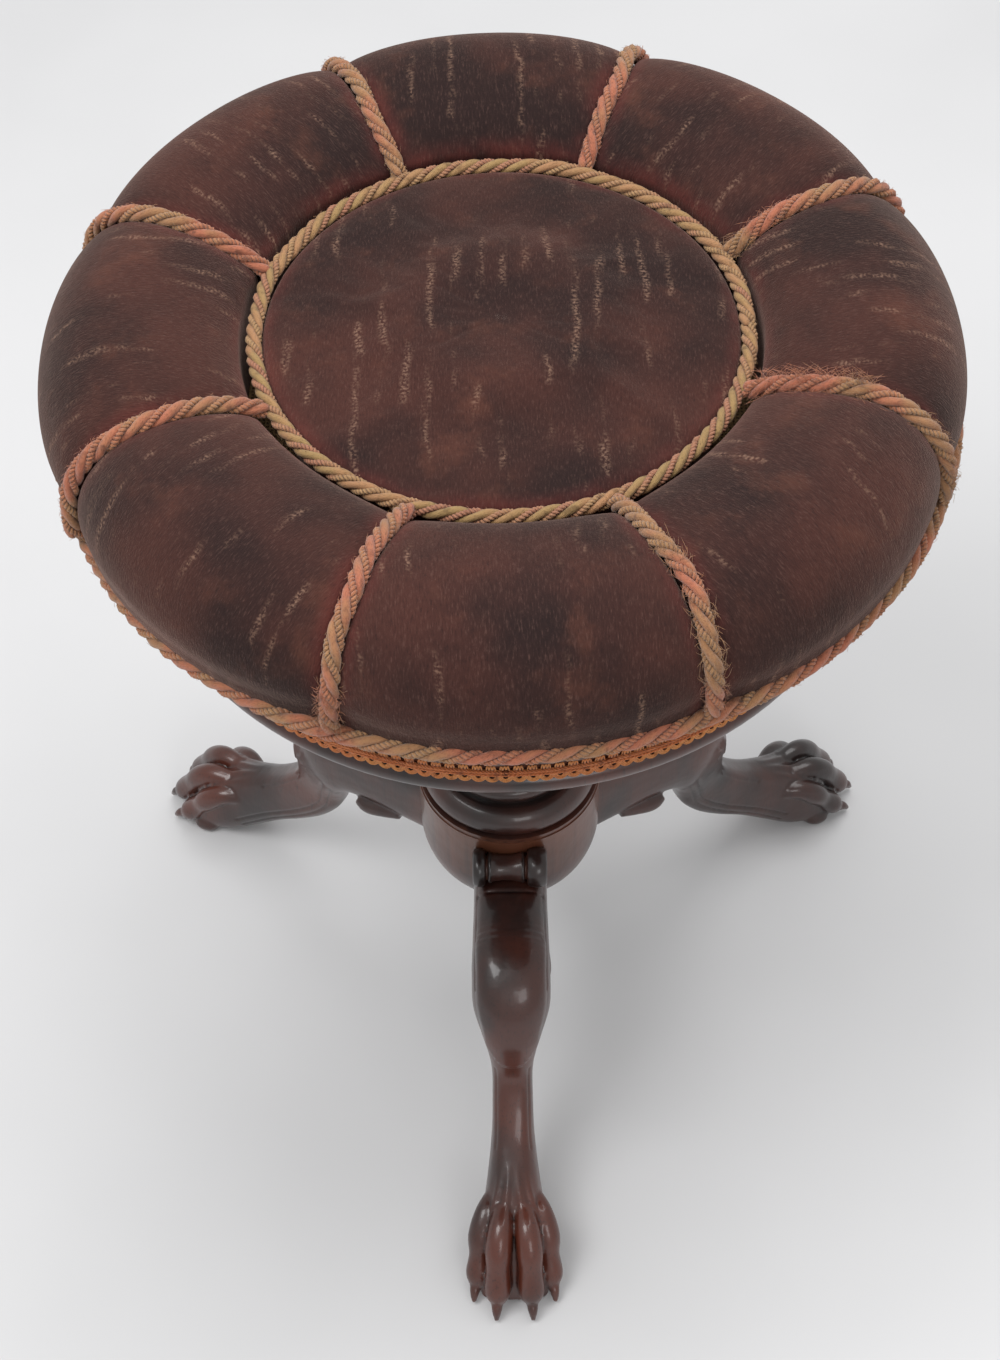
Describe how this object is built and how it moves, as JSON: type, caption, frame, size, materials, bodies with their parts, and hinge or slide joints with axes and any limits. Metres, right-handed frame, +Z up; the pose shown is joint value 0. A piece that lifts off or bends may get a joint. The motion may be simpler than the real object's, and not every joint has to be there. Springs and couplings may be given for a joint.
{
  "type": "revolving piano stool",
  "caption": "Revolving piano stool with a round padded seat on a screw, a turned column and carved cabriole legs on paw feet.",
  "frame": {"origin": "on the screw's axis at floor level, under the middle of the hub", "axes": "+Z up along the screw's axis, one leg along -Y, +X to the right of that leg seen from the front"},
  "size_m": [0.3888, 0.4013, 0.4846],
  "materials": {
    "mahogany": "dark french polish",
    "beech": "plain",
    "iron": "blackened",
    "brass": "dull",
    "hessian": "coarse weave",
    "velvet": "worn brown velvet",
    "gold_cord": "twisted cord",
    "orange_cord": "twisted cord",
    "gimp": "scalloped gimp"
  },
  "bodies": {
    "base": {"column": "mahogany", "hub": "mahogany", "leg_front": "mahogany", "leg_right": "mahogany", "leg_left": "mahogany", "leg_dowels": "beech", "screw_nut": "iron", "nut_screws": "iron"},
    "washer": {"thrust_washer": "brass"},
    "seat": {"seat_board": "mahogany", "screw_flange": "iron", "flange_screws": "iron", "seat_screw": "iron", "stop_collar": "iron", "stop_pin": "iron", "base_stuffing": "hessian", "velvet_border": "velvet", "centre_pad": "velvet", "ring_cord": "gold_cord", "perimeter_cord": "orange_cord", "gimp_braid": "gimp", "gimp_pins": "brass", "segment_pad_1": "velvet", "segment_pad_2": "velvet", "segment_pad_3": "velvet", "segment_pad_4": "velvet", "segment_pad_5": "velvet", "segment_pad_6": "velvet", "segment_pad_7": "velvet", "segment_pad_8": "velvet", "radial_cord_1": "orange_cord", "radial_cord_2": "orange_cord", "radial_cord_3": "orange_cord", "radial_cord_4": "orange_cord", "radial_cord_5": "orange_cord", "radial_cord_6": "orange_cord", "radial_cord_7": "orange_cord", "radial_cord_8": "orange_cord"}
  },
  "joints": [
    {"name": "seat_turn", "type": "hinge", "parent": "base", "child": "washer", "pos_m": [0, 0, 0.343], "axis": [0, 0, 1], "range_deg": [0, 6120]},
    {"name": "seat_rise", "type": "slide", "parent": "washer", "child": "seat", "axis": [0, 0, 1], "range_m": [0, 0.102]}
  ],
  "couplings": [
    {"joint": "seat_rise", "follows": "seat_turn", "m_per_rad": 0.00095493}
  ]
}
